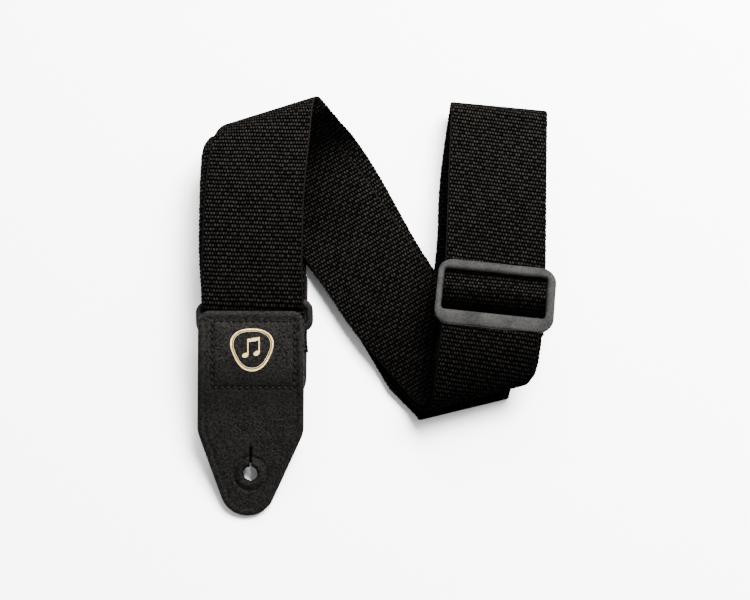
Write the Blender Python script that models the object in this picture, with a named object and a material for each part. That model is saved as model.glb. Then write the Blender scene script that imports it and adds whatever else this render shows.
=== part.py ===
"""A folded guitar strap: webbing, two leather ends, a ring and a tri-glide slider.

Units are metres and Z is up. The strap lies on z = 0 in an N shape. The main
webbing is one strap in use; here it is cut at its folds into short lengths.
"""

import math

import bmesh
import bpy
from mathutils import Matrix, Vector

MM = 0.001
CENTRING = (-0.51, 0.85, 0.0)  # puts the middle of the whole part over the origin

# Webbing
WEB_WIDTH = 50.0
WEB_THICK = 1.6
LAYER = 2.2  # one layer of webbing to the next, centre to centre
BUTT_GAP = 0.45  # between two lengths of the same strap

# The strap's centreline on the floor plan, in mm, and its height above z = 0
LEFT_X_OUTER = -60.8
LEFT_X_INNER = -63.4
LEFT_TOP_Y = 86.5
LEFT_Z = 33.0
DIAGONAL_Z = 6.6
RIGHT_LOW_Z = 33.4
RIGHT_TOP_Z = 20.4
FLOOR_Z = 0.8
HIDDEN_DIAGONAL_Z = 4.0

# Fold axes, in degrees anticlockwise from +X
FOLD_TOP_LEFT = 18.0
FOLD_LOWER = 15.0
FOLD_TOP_RIGHT = -6.5

# Ring
RING_X = -60.7
RING_UPPER_Y = -7.75
RING_Z = 28.0
RING_BAR = 4.5
RING_PITCH = 11.9  # between the centres of the two long bars
RING_WIDTH = 60.4
RING_CORNER = 2.4
RING_TURN = 0.8  # degrees, seen from above
LOOP_RADIUS = RING_BAR / 2 + 0.3 + WEB_THICK / 2

# Leather ends
LEATHER_WIDTH = 51.6
LEATHER_LENGTH = 102.0
LEATHER_THICK = 3.0
LEATHER_TOP = 7.0  # how far the front end reaches past the ring's lower bar
LEATHER_OFFSET = 6.0  # the ring's lower bar to the middle of the leather
END_SLOPE = 17.6  # degrees, how steeply the front end runs down to the floor
TOP_CORNER = 6.0
SHOULDER = 43.0  # from the tip to where the sides start to taper
SHOULDER_RADIUS = 15.0
TIP_RADIUS = 12.5
PIN_HOLE = 7.0
PIN_HOLE_UP = 21.0
SLIT_WIDTH = 1.0
SLIT_LENGTH = 10.0
BOSS_RADIUS = 7.4  # the moulded ring round the front pin hole
BOSS_HEIGHT = 0.6
REAR_TOP_Y = 19.0

# Sewing and foil
BOX_WIDTH = 41.6
BOX_HEIGHT = 33.5
BOX_TOP = 4.5
THREAD = 0.7
FOIL_THICK = 0.25
FOIL_WIDTH = 19.0
FOIL_HEIGHT = 21.0
FRONT_TURN = -1.8  # degrees, the front end against the ring

# Slider
SLIDER_X = 60.7
SLIDER_Y = -3.6
SLIDER_TURN = -3.0
SLIDER_WIDTH = 60.5
SLIDER_HEIGHT = 32.5
SLIDER_TOP = 3.9  # above the middle of the webbing that runs through
SLIDER_OVER = 1.15
CENTRE_BAR_TOP = -3.0
CENTRE_BAR_LOW = -5.2
CENTRE_BAR = 4.5
WINDOW_WIDTH = 52.6
WINDOW_HEIGHT = 22.3
SLIDER_CORNER = 6.5
RIGHT_DIRECTION = 86.6


# ---------------------------------------------------------------- helpers

def clear_scene():
    for old in list(bpy.data.objects):
        bpy.data.objects.remove(old, do_unlink=True)


def material(name, colour, roughness, metallic=0.0):
    made = bpy.data.materials.new(name)
    made.use_nodes = True
    shader = made.node_tree.nodes["Principled BSDF"]
    shader.inputs["Base Color"].default_value = (*colour, 1.0)
    shader.inputs["Roughness"].default_value = roughness
    shader.inputs["Metallic"].default_value = metallic
    return made


def add_mesh(name, verts, faces, mat, origin=(0, 0, 0)):
    """Adds a mesh whose verts are world points in mm; its origin is a world point in mm."""
    origin = Vector(origin)
    centring = Vector(CENTRING)
    bm = bmesh.new()
    made = [bm.verts.new((Vector(v) - origin) * MM) for v in verts]
    for face in faces:
        bm.faces.new([made[i] for i in face])
    bmesh.ops.recalc_face_normals(bm, faces=bm.faces)
    mesh = bpy.data.meshes.new(name)
    bm.to_mesh(mesh)
    bm.free()
    obj = bpy.data.objects.new(name, mesh)
    obj.location = (origin + centring) * MM
    bpy.context.scene.collection.objects.link(obj)
    obj.data.materials.append(mat)
    return obj


def cut(target, cutters):
    """Subtracts each cutter with an exact boolean that stays in the modifier list."""
    for cutter in cutters:
        cutter.hide_render = True
        cutter.display_type = "WIRE"
        step = target.modifiers.new("cut_" + cutter.name, "BOOLEAN")
        step.operation = "DIFFERENCE"
        step.solver = "EXACT"
        step.object = cutter


def join(target, other):
    """Joins another solid to the target with an exact boolean."""
    other.hide_render = True
    other.display_type = "WIRE"
    step = target.modifiers.new("join_" + other.name, "BOOLEAN")
    step.operation = "UNION"
    step.solver = "EXACT"
    step.object = other


def turned(degrees):
    return Vector((math.cos(math.radians(degrees)), math.sin(math.radians(degrees)), 0.0))


def arc(centre, radius, start, end, steps):
    points = []
    for i in range(steps + 1):
        angle = math.radians(start + (end - start) * i / steps)
        points.append((centre[0] + radius * math.cos(angle), centre[1] + radius * math.sin(angle)))
    return points


def rounded_rectangle(width, height, radius, steps=4):
    x = width / 2 - radius
    y = height / 2 - radius
    points = arc((x, y), radius, 0, 90, steps)
    points += arc((-x, y), radius, 90, 180, steps)
    points += arc((-x, -y), radius, 180, 270, steps)
    points += arc((x, -y), radius, 270, 360, steps)
    return points


def inset(outline, distance):
    """Moves a closed anticlockwise outline inwards."""
    moved = []
    count = len(outline)
    for i in range(count):
        before = Vector(outline[i - 1])
        here = Vector(outline[i])
        after = Vector(outline[(i + 1) % count])
        one = (here - before).normalized()
        two = (after - here).normalized()
        normal = Vector((-(one.y + two.y), one.x + two.x)).normalized()
        spread = max(0.4, normal.dot(Vector((-one.y, one.x))))
        moved.append(tuple(here + normal * (distance / spread)))
    return moved


def plate(name, outline, low, high, frame, mat, origin, edge=0.0):
    """A flat plate on a local frame, with chamfered rims when edge is more than 0."""
    levels = [(low, 0.0), (high, 0.0)]
    if edge:
        levels = [(low, edge), (low + edge, 0.0), (high - edge, 0.0), (high, edge)]
    verts = []
    for height, depth in levels:
        ring = inset(outline, depth) if depth else outline
        verts += [frame @ Vector((x, y, height)) for x, y in ring]
    count = len(outline)
    faces = [tuple(range(count)), tuple(range(count * (len(levels) - 1), count * len(levels)))]
    for level in range(len(levels) - 1):
        for i in range(count):
            j = (i + 1) % count
            base = level * count
            faces.append((base + i, base + j, base + count + j, base + count + i))
    return add_mesh(name, verts, faces, mat, origin)


def tube_loop(name, path, across, radius, sides, mat, origin):
    """A closed round tube along a closed path in a plane with the normal across."""
    verts = []
    count = len(path)
    for i in range(count):
        tangent = (path[(i + 1) % count] - path[i - 1]).normalized()
        side = tangent.cross(across).normalized()
        for k in range(sides):
            angle = 2 * math.pi * k / sides
            verts.append(path[i] + side * (radius * math.cos(angle)) + across * (radius * math.sin(angle)))
    faces = []
    for i in range(count):
        j = (i + 1) % count
        for k in range(sides):
            m = (k + 1) % sides
            faces.append((i * sides + k, i * sides + m, j * sides + m, j * sides + k))
    return add_mesh(name, verts, faces, mat, origin)


# ---------------------------------------------------------------- webbing

def rung(centre, along, half):
    """A line across the webbing: its left and right ends."""
    return (centre - along * half, centre + along * half)


def run(start, start_skew, end, end_skew, bend, heights, steps):
    """A flat run from one plan point to another. A skew is the direction of its end line.

    bend pushes the middle sideways, and heights are evenly spaced z values.
    """
    start = Vector((*start, 0.0))
    end = Vector((*end, 0.0))
    direct = (end - start).normalized()
    side = Vector((direct.y, -direct.x, 0.0))
    heading = math.degrees(math.atan2(direct.y, direct.x))
    rungs = []
    for i in range(steps + 1):
        t = i / steps
        centre = start.lerp(end, t) + side * (4 * bend * t * (1 - t))
        place = t * (len(heights) - 1)
        k = min(int(place), len(heights) - 2)
        centre.z = heights[k] + (heights[k + 1] - heights[k]) * (place - k)
        skew = start_skew + (end_skew - start_skew) * t
        half = WEB_WIDTH / 2 / abs(math.sin(math.radians(heading - skew)))
        rungs.append(rung(centre, turned(skew), half))
    return rungs


def lay_on_slope(rungs, offset):
    """Puts rungs on the slope that the slider runs along, offset along its normal."""
    origin, _, _, normal = slider_frame()
    for ends in rungs:
        for point in ends:
            away = point - origin
            point.z = origin.z + (offset - away.x * normal.x - away.y * normal.y) / normal.z


def fold(start, z_start, heading, axis, radius, up, steps):
    """A round fold about an axis in the plan. Returns its rungs and where it ends."""
    start = Vector((*start, 0.0))
    along = turned(axis)
    ahead = turned(heading)
    out = Vector((-along.y, along.x, 0.0))
    if out.dot(ahead) < 0:
        out = -out
    turn = math.radians(heading - axis)
    creep = math.cos(turn) / abs(math.sin(turn))
    half = WEB_WIDTH / 2 / abs(math.sin(turn))
    sign = 1.0 if up else -1.0
    rungs = []
    for i in range(steps + 1):
        angle = math.pi * i / steps
        centre = start + along * (creep * radius * angle) + out * (radius * math.sin(angle))
        centre.z = z_start + sign * radius * (1 - math.cos(angle))
        rungs.append(rung(centre, along, half))
    last = start + along * (creep * radius * math.pi)
    return rungs, (last.x, last.y)


def band(name, rungs, mat, origin=(0, 0, 0), trim=True):
    """A closed strap solid through a list of rungs, its first end trimmed by the butt gap."""
    rungs = [list(r) for r in rungs]
    if trim:
        for k in range(2):
            step = (rungs[1][k] - rungs[0][k]).normalized()
            rungs[0][k] = rungs[0][k] + step * BUTT_GAP
    count = len(rungs)
    verts = []
    for i in range(count):
        ahead = rungs[min(i + 1, count - 1)]
        behind = rungs[max(i - 1, 0)]
        tangent = (ahead[0] + ahead[1]) - (behind[0] + behind[1])
        normal = (rungs[i][1] - rungs[i][0]).cross(tangent).normalized()
        lift = normal * (WEB_THICK / 2)
        verts += [rungs[i][0] - lift, rungs[i][1] - lift, rungs[i][1] + lift, rungs[i][0] + lift]
    faces = [(0, 1, 2, 3), (4 * count - 1, 4 * count - 2, 4 * count - 3, 4 * count - 4)]
    for i in range(count - 1):
        base = 4 * i
        for k in range(4):
            m = (k + 1) % 4
            faces.append((base + k, base + m, base + 4 + m, base + 4 + k))
    return add_mesh(name, verts, faces, mat, origin)


def ring_frame():
    """The ring's middle, its long direction, the way to its lower bar, and its normal."""
    across = turned(RING_TURN)
    level = Vector((across.y, -across.x, 0.0))
    slope = math.radians(END_SLOPE)
    down = level * math.cos(slope) - Vector((0, 0, math.sin(slope)))
    return Vector((RING_X, RING_UPPER_Y, RING_Z)), across, down, across.cross(-down).normalized()


def ring_loop_rungs():
    """The webbing round the ring's upper bar, from underneath to on top."""
    centre, across, _, _ = ring_frame()
    back = Vector((-across.y, across.x, 0.0))
    rungs = []
    for i in range(11):
        angle = math.pi * i / 10
        away = Vector((0, 0, -math.cos(angle))) - back * math.sin(angle)
        middle = centre + away * LOOP_RADIUS
        rungs.append(rung(middle, across, WEB_WIDTH / 2))
    return rungs


def outer_webbing(mat):
    """The running layer: ring to slider to the top right fold, and back underneath."""
    loop = ring_loop_rungs()
    band("webbing_ring_loop", loop, mat)
    start = ((loop[-1][0] + loop[-1][1]) / 2)
    corner = (LEFT_X_OUTER, LEFT_TOP_Y)
    heights = [start.z, LEFT_Z - 0.6, LEFT_Z, LEFT_Z]
    rungs = run((start.x, start.y), RING_TURN, corner, FOLD_TOP_LEFT, 0.0, heights, 9)
    band("webbing_left_run_outer", rungs, mat)

    radius = (LEFT_Z - DIAGONAL_Z) / 2
    rungs, corner = fold(corner, LEFT_Z, 90.0, FOLD_TOP_LEFT, radius, False, 14)
    band("webbing_top_left_fold_outer", rungs, mat)

    radius = (RIGHT_LOW_Z - DIAGONAL_Z) / 2
    lower = (44.2, -41.2)
    rungs = run(corner, FOLD_TOP_LEFT, lower, FOLD_LOWER, 0.0, [DIAGONAL_Z, DIAGONAL_Z], 9)
    band("webbing_diagonal_run_outer", rungs, mat)

    rungs, corner = fold(lower, DIAGONAL_Z, -55.4, FOLD_LOWER, radius, True, 14)
    band("webbing_lower_fold_outer", rungs, mat)

    top = (66.5, 96.4)
    heights = [RIGHT_LOW_Z, RIGHT_TOP_Z]
    rungs = run(corner, FOLD_LOWER, top, FOLD_TOP_RIGHT, 0.0, heights, 12)
    lay_on_slope(rungs[1:-1], 0.0)
    band("webbing_right_run_outer", rungs, mat)

    radius = (RIGHT_TOP_Z - FLOOR_Z) / 2
    rungs, corner = fold(top, RIGHT_TOP_Z, RIGHT_DIRECTION, FOLD_TOP_RIGHT, radius, False, 12)
    band("webbing_top_right_fold", rungs, mat)
    hidden_webbing(corner, mat)


def hidden_webbing(corner, mat):
    """The layer on the floor: back along all three arms to the rear leather end."""
    low = (47.0, -50.0)
    rungs = run(corner, FOLD_TOP_RIGHT, low, 13.9, 1.0, [FLOOR_Z, FLOOR_Z], 8)
    band("webbing_right_run_under", rungs, mat)

    radius = (HIDDEN_DIAGONAL_Z - FLOOR_Z) / 2
    rungs, corner = fold(low, FLOOR_Z, -95.5, 13.9, radius, True, 8)
    band("webbing_lower_fold_under", rungs, mat)

    top = (-53.5, 88.0)
    rungs = run(corner, 13.9, top, 17.5, 2.0, [HIDDEN_DIAGONAL_Z, HIDDEN_DIAGONAL_Z], 6)
    band("webbing_diagonal_run_under", rungs, mat)

    rungs, corner = fold(top, HIDDEN_DIAGONAL_Z, 124.0, 17.5, radius, False, 8)
    band("webbing_top_left_fold_under", rungs, mat)

    rise = LEATHER_THICK + 0.3 + WEB_THICK / 2
    end = (-61.5, REAR_TOP_Y - BOX_TOP - BOX_HEIGHT - 2.0)
    bend = (-61.5, REAR_TOP_Y + 5.5)
    rungs = run(corner, 17.5, bend, 0.0, 0.0, [FLOOR_Z, FLOOR_Z], 4)
    rungs += run((-61.5, REAR_TOP_Y + 1.0), 0.0, end, 0.0, 0.0, [rise, rise], 2)
    band("webbing_left_run_under", rungs, mat)


def inner_webbing(mat):
    """The layer between the ring and the slider's centre bar."""
    loop = ring_loop_rungs()
    start = (loop[0][0] + loop[0][1]) / 2
    back = (LEFT_X_OUTER - LEFT_X_INNER) * math.tan(math.radians(FOLD_TOP_LEFT))
    corner = (LEFT_X_INNER, LEFT_TOP_Y - back)
    upper = LEFT_Z - LAYER
    heights = [start.z, upper - 1.4, upper, upper, upper]
    rungs = run((start.x, start.y), RING_TURN, corner, FOLD_TOP_LEFT, 0.0, heights, 8)
    band("webbing_left_run_inner", rungs, mat)

    lower = DIAGONAL_Z + LAYER
    radius = (upper - lower) / 2
    rungs, corner = fold(corner, upper, 90.0, FOLD_TOP_LEFT, radius, False, 12)
    band("webbing_top_left_fold_inner", rungs, mat)

    turn = (43.8, -41.2)
    rungs = run(corner, FOLD_TOP_LEFT, turn, FOLD_LOWER, 0.0, [lower, lower], 9)
    band("webbing_diagonal_run_inner", rungs, mat)

    radius = (RIGHT_LOW_Z - LAYER - lower) / 2
    rungs, corner = fold(turn, lower, -54.0, FOLD_LOWER, radius, True, 12)
    band("webbing_lower_fold_inner", rungs, mat)

    origin, _, along, normal = slider_frame()
    end = origin - along * 8.4 - normal * 4.1
    start = RIGHT_LOW_Z - LAYER
    rungs = run(corner, FOLD_LOWER, (end.x, end.y), SLIDER_TURN, 0.0, [start, start], 6)
    lay_on_slope(rungs[1:2], -3.1)
    lay_on_slope(rungs[2:], -4.1)
    band("webbing_right_run_inner", rungs, mat)


# ---------------------------------------------------------------- hardware

def slider_frame():
    """The point on the webbing at the slider, the way across, along and up from it."""
    low = Vector((0.0, 0.0, RIGHT_LOW_Z))
    level = turned(RIGHT_DIRECTION)
    rise = (RIGHT_TOP_Z - RIGHT_LOW_Z) / (96.4 + 37.4)
    origin = Vector((SLIDER_X, SLIDER_Y, low.z + rise * (SLIDER_Y + 37.4)))
    along = (level + Vector((0, 0, rise * level.y))).normalized()
    across = Vector((level.y, -level.x, 0.0))
    normal = across.cross(along).normalized()
    return origin, across, along, normal


def slider_matrix():
    origin, across, along, normal = slider_frame()
    axes = Matrix((across, along, normal)).transposed().to_4x4()
    return Matrix.Translation(origin) @ axes @ Matrix.Rotation(math.radians(SLIDER_TURN), 4, "Z")


def box_cutter(name, x, y, z, frame, mat, origin):
    outline = [(x[0], y[0]), (x[1], y[0]), (x[1], y[1]), (x[0], y[1])]
    return plate(name, outline, z[0], z[1], frame, mat, origin)


def slider(mat):
    """The tri-glide: outer bars over the running webbing, centre bar under it."""
    frame = slider_matrix()
    origin, _, _, _ = slider_frame()
    outline = rounded_rectangle(SLIDER_WIDTH, SLIDER_HEIGHT, SLIDER_CORNER, 5)
    body = plate("tri_glide_slider", outline, CENTRE_BAR_LOW, SLIDER_TOP, frame, mat, origin, 0.9)
    half = WINDOW_WIDTH / 2
    reach = SLIDER_HEIGHT
    bar = CENTRE_BAR / 2
    window = rounded_rectangle(WINDOW_WIDTH, WINDOW_HEIGHT, 2.0, 3)
    cutters = [
        plate("window_cutter", window, SLIDER_OVER - 0.5, SLIDER_TOP + 2, frame, mat, origin),
        box_cutter("slot_cutter", (-half, half), (-reach, reach), (CENTRE_BAR_TOP, SLIDER_OVER),
                   frame, mat, origin),
        box_cutter("front_cutter", (-half, half), (-reach, -bar),
                   (CENTRE_BAR_LOW - 2, CENTRE_BAR_TOP + 0.5), frame, mat, origin),
        box_cutter("back_cutter", (-half, half), (bar, reach),
                   (CENTRE_BAR_LOW - 2, CENTRE_BAR_TOP + 0.5), frame, mat, origin),
    ]
    cut(body, cutters)


def slider_loop(web, thread):
    """The webbing's end: folded round the centre bar and closed by a seam."""
    frame = slider_matrix()
    origin, _, _, _ = slider_frame()
    middle = (CENTRE_BAR_TOP + CENTRE_BAR_LOW) / 2
    radius = (CENTRE_BAR_TOP - CENTRE_BAR_LOW) / 2 + 0.3 + WEB_THICK / 2
    line = [(-18.0, middle + radius)]
    for i in range(9):
        angle = math.pi * (0.5 - i / 8)
        line.append((CENTRE_BAR / 2 - 0.3 + radius * math.cos(angle), middle + radius * math.sin(angle)))
    line.append((-14.0, middle - radius))
    rungs = []
    for y, z in line:
        rungs.append((frame @ Vector((-25, y, z)), frame @ Vector((25, y, z))))
    band("slider_end_loop", rungs, web, origin, False)
    path = []
    for x, y in rounded_rectangle(40.0, 4.4, 0.8, 2):
        path.append(frame @ Vector((x, y - 10.5, middle - radius - 1.25)))
    up = (frame.to_3x3() @ Vector((0, 0, 1))).normalized()
    tube_loop("slider_seam_thread", path, up, THREAD / 2, 6, thread, origin)


def ring(mat):
    upper, across, down, normal = ring_frame()
    centre = upper + down * (RING_PITCH / 2)
    outline = rounded_rectangle(RING_WIDTH - RING_BAR, RING_PITCH, RING_CORNER, 5)
    path = [centre + across * x - down * y for x, y in outline]
    tube_loop("rectangular_ring", path, normal, RING_BAR / 2, 12, mat, upper)


def keeper(mat):
    """The short webbing folded round the ring's lower bar, under the front leather end."""
    upper, across, down, normal = ring_frame()
    bar = upper + down * RING_PITCH
    line = [(BOX_HEIGHT, LOOP_RADIUS), (0.0, LOOP_RADIUS)]
    for i in range(1, 11):
        angle = math.radians(90 + 21 * i)
        line.append((LOOP_RADIUS * math.cos(angle), LOOP_RADIUS * math.sin(angle)))
    line += [(9.4, LOOP_RADIUS - 1.95), (BOX_HEIGHT, LOOP_RADIUS - 1.95)]
    rungs = []
    for y, z in line:
        rungs.append(rung(bar + down * y + normal * z, across, WEB_WIDTH / 2))
    band("ring_keeper_webbing", rungs, mat, bar, False)


# ---------------------------------------------------------------- leather

def leather_outline():
    """The end seen from its face: y = 0 at its top edge, the tip at -LEATHER_LENGTH."""
    half = LEATHER_WIDTH / 2
    tip = -LEATHER_LENGTH + TIP_RADIUS
    shoulder = -LEATHER_LENGTH + SHOULDER
    taper = math.degrees(math.atan2(half - TIP_RADIUS + 1.6, shoulder - tip))
    points = arc((half - TOP_CORNER, -TOP_CORNER), TOP_CORNER, 0, 90, 5)
    points += arc((-half + TOP_CORNER, -TOP_CORNER), TOP_CORNER, 90, 180, 5)
    points += arc((-half + SHOULDER_RADIUS, shoulder), SHOULDER_RADIUS, 180, 180 + taper, 4)
    points += arc((0, tip), TIP_RADIUS, 180 + taper, 360 - taper, 10)
    points += arc((half - SHOULDER_RADIUS, shoulder), SHOULDER_RADIUS, 360 - taper, 360, 4)
    return points


def keyhole_outline():
    centre = -LEATHER_LENGTH + PIN_HOLE_UP
    radius = PIN_HOLE / 2
    gap = math.degrees(math.asin(SLIT_WIDTH / 2 / radius))
    points = arc((0, centre), radius, 90 + gap, 450 - gap, 22)
    top = centre + radius + SLIT_LENGTH
    return points + [(SLIT_WIDTH / 2, top), (-SLIT_WIDTH / 2, top)]


def leather_end(name, frame, mat, origin, raised):
    """A leather end with its pin hole; raised adds the moulded ring round the hole."""
    half = LEATHER_THICK / 2
    end = plate(name, leather_outline(), -half, half, frame, mat, origin, 0.7)
    if raised:
        circle = arc((0, -LEATHER_LENGTH + PIN_HOLE_UP), BOSS_RADIUS, 0, 350, 35)
        boss = plate(name + "_boss", circle, half - 0.8, half + BOSS_HEIGHT, frame, mat, origin, 0.3)
        join(end, boss)
    hole = plate(name + "_cutter", keyhole_outline(), -half - 2, half + 2, frame, mat, origin)
    cut(end, [hole])


def box_thread(name, frame, height, mat, origin):
    path = []
    for x, y in rounded_rectangle(BOX_WIDTH, BOX_HEIGHT, 1.2, 2):
        path.append(frame @ Vector((x, y - BOX_TOP - BOX_HEIGHT / 2, height)))
    up = (frame.to_3x3() @ Vector((0, 0, 1))).normalized()
    tube_loop(name, path, up, THREAD / 2, 6, mat, origin)


def front_end(leather, thread, foil):
    upper, across, down, normal = ring_frame()
    bar = upper + down * RING_PITCH
    top = bar - down * LEATHER_TOP + normal * LEATHER_OFFSET + across * -0.9
    frame = Matrix.Translation(top) @ Matrix((across, -down, normal)).transposed().to_4x4()
    frame = frame @ Matrix.Rotation(math.radians(FRONT_TURN), 4, "Z")
    leather_end("front_leather_end", frame, leather, bar, True)
    surface = LEATHER_THICK / 2
    box_thread("front_box_thread", frame, surface + THREAD / 2 + 0.05, thread, bar)
    emblem = []
    for i in range(24):
        angle = 2 * math.pi * i / 24
        width = FOIL_WIDTH / 2 * (1.0 + 0.16 * math.sin(angle))
        emblem.append((width * math.cos(angle), -19.5 + FOIL_HEIGHT / 2 * math.sin(angle)))
    plate("foil_motif", emblem, surface + 0.06, surface + 0.06 + FOIL_THICK, frame, foil, bar)


def rear_end(leather, thread):
    middle = Vector((-61.5, REAR_TOP_Y, LEATHER_THICK / 2))
    frame = Matrix.Translation(middle)
    leather_end("rear_leather_end", frame, leather, middle, False)
    above = LEATHER_THICK / 2 + 0.3 + WEB_THICK + 0.05 + THREAD / 2
    box_thread("rear_box_thread", frame, above, thread, middle)


def main():
    clear_scene()
    webbing = material("black_webbing", (0.012, 0.012, 0.012), 0.75)
    leather = material("black_leather", (0.02, 0.019, 0.018), 0.5)
    plastic = material("black_plastic", (0.025, 0.025, 0.027), 0.45)
    thread = material("black_thread", (0.01, 0.01, 0.01), 0.6)
    foil = material("gold_foil", (0.85, 0.66, 0.3), 0.3, 1.0)
    outer_webbing(webbing)
    inner_webbing(webbing)
    ring(plastic)
    keeper(webbing)
    front_end(leather, thread, foil)
    rear_end(leather, thread)
    slider(plastic)
    slider_loop(webbing, thread)


main()
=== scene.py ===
import math

import bmesh
import bpy
import numpy as np
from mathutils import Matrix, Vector


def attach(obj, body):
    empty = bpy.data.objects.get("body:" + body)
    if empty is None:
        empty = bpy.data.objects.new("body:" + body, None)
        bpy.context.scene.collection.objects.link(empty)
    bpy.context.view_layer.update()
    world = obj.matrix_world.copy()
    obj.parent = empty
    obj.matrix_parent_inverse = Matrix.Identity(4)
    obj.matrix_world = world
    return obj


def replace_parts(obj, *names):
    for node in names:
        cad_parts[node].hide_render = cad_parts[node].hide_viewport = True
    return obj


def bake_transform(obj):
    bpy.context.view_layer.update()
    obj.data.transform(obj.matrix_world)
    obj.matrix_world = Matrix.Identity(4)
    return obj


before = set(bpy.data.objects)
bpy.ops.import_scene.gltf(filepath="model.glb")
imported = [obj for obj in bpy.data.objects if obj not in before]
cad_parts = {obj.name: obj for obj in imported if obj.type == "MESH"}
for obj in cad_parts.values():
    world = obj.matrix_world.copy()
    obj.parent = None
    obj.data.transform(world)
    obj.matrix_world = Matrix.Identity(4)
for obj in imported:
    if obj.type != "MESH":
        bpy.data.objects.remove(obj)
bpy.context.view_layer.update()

# Lengths below are millimetres in the strap's own plan until place() turns them into metres.
MM = 0.001
CENTRING = np.array((-0.51, 0.85, 0.0))

# Camera: lens in millimetres, the rest in metres and degrees from straight down
CAMERA_LENS = 74.74
CAMERA_TILT = 18.0
CAMERA_DISTANCE = 0.8
CAMERA_AIM_Z = 0.012

# Webbing
WIDTH = 51.2
STRAP_AT_RING = -61.3
THICK = 1.6
ROW = 2.15
COLUMN = 1.47
SELVAGE = 24.4

# Heights of the layers, centre of the webbing above the floor
LEFT_Z = 33.0
DIAGONAL_Z = 6.6
RIGHT_LOW_Z = 33.4
RIGHT_TOP_Z = 20.4
FLOOR_Z = 0.9
HIDDEN_Z = 4.0
LAYER = 2.2

# Ring
RING_MIDDLE = np.array((-60.7, -7.75, 28.0))
RING_BAR = 4.5
RING_SIDE_BAR = 3.7
RING_WIDTH = 59.0
RING_PITCH = 11.9
RING_TURN = 1.6
END_SLOPE = 17.6
LOOP_RADIUS = RING_BAR / 2 + 0.3 + THICK / 2

# Leather ends
LEATHER_HALF = 26.5
LEATHER_LENGTH = 102.0
LEATHER_THICK = 3.0
LEATHER_TOP = 8.9
LEATHER_OFFSET = 6.0
FRONT_TURN = -1.8
PIN_RADIUS = 3.5
PIN_Y = -LEATHER_LENGTH + 21.0
SLIT_TOP = PIN_Y + PIN_RADIUS + 10.0
REAR_TOP = np.array((-61.5, 19.0, 2.4))
BOX_MIDDLE_X = 1.3
BOX_HALF_X = 20.5
BOX_TOP = -5.0
BOX_BOTTOM = -38.4
STITCH = 3.25

# Slider
SLIDER_MIDDLE = np.array((60.7, -3.6, 30.116))
SLIDER_TURN = -3.0
WINDOW = 52.0
WINDOW_X = -0.9
SLIDER_WIDTH = 59.0
SLIDER_HEIGHT = 35.0
SLIDER_CORNER = 7.2
WINDOW_HEIGHT = 22.3
RIGHT_DIRECTION = 86.6
RIGHT_LENGTH = 96.4 + 37.4  # the right arm above and below y 0
RIGHT_RISE = (RIGHT_TOP_Z - RIGHT_LOW_Z) / RIGHT_LENGTH


# ---------------------------------------------------------------- camera, stage, light

def camera():
    data = bpy.data.cameras.new("camera")
    data.sensor_width = 36.0
    data.lens = CAMERA_LENS
    cam = bpy.data.objects.new("camera", data)
    tilt = math.radians(CAMERA_TILT)
    target = Vector((CENTRING[0] * MM, CENTRING[1] * MM, CAMERA_AIM_Z))
    away = Vector((0.0, -math.sin(tilt), math.cos(tilt)))
    cam.location = target + away * CAMERA_DISTANCE
    cam.rotation_euler = (tilt, 0.0, 0.0)
    bpy.context.scene.collection.objects.link(cam)
    bpy.context.scene.camera = cam


def area_light(name, place, target, size, power, colour=(1.0, 1.0, 1.0)):
    data = bpy.data.lights.new(name, "AREA")
    data.shape = "RECTANGLE"
    data.size, data.size_y = size
    data.energy = power
    data.color = colour
    light = bpy.data.objects.new(name, data)
    light.location = place
    light.rotation_euler = (Vector(target) - Vector(place)).to_track_quat("-Z", "Y").to_euler()
    bpy.context.scene.collection.objects.link(light)
    return light


def stage():
    mesh = bpy.data.meshes.new("floor")
    s = 3.0
    mesh.from_pydata([(-s, -s, 0), (s, -s, 0), (s, s, 0), (-s, s, 0)], [], [(0, 1, 2, 3)])
    floor = bpy.data.objects.new("floor", mesh)
    floor.location.z = -0.0002
    bpy.context.scene.collection.objects.link(floor)
    mat = bpy.data.materials.new("white_table")
    mat.use_nodes = True
    shader = mat.node_tree.nodes["Principled BSDF"]
    shader.inputs["Base Color"].default_value = (0.97, 0.97, 0.97, 1.0)
    shader.inputs["Roughness"].default_value = 0.6
    shader.inputs["Specular IOR Level"].default_value = 0.1
    floor.data.materials.append(mat)
    world = bpy.data.worlds.new("world")
    world.use_nodes = True
    world.node_tree.nodes["Background"].inputs["Color"].default_value = (1.0, 1.0, 1.0, 1.0)
    world.node_tree.nodes["Background"].inputs["Strength"].default_value = 0.75
    bpy.context.scene.world = world
    area_light("key", (0.5, 0.58, 1.3), (0.0, 0.0, 0.0), (0.75, 0.75), 205.0)
    area_light("back", (-0.1, 1.5, 1.15), (0.0, 0.0, 0.0), (1.0, 0.6), 55.0)
    area_light("right", (1.2, 0.3, 1.0), (0.0, 0.0, 0.0), (0.6, 0.6), 12.0)


# ---------------------------------------------------------------- shader expressions

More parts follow.
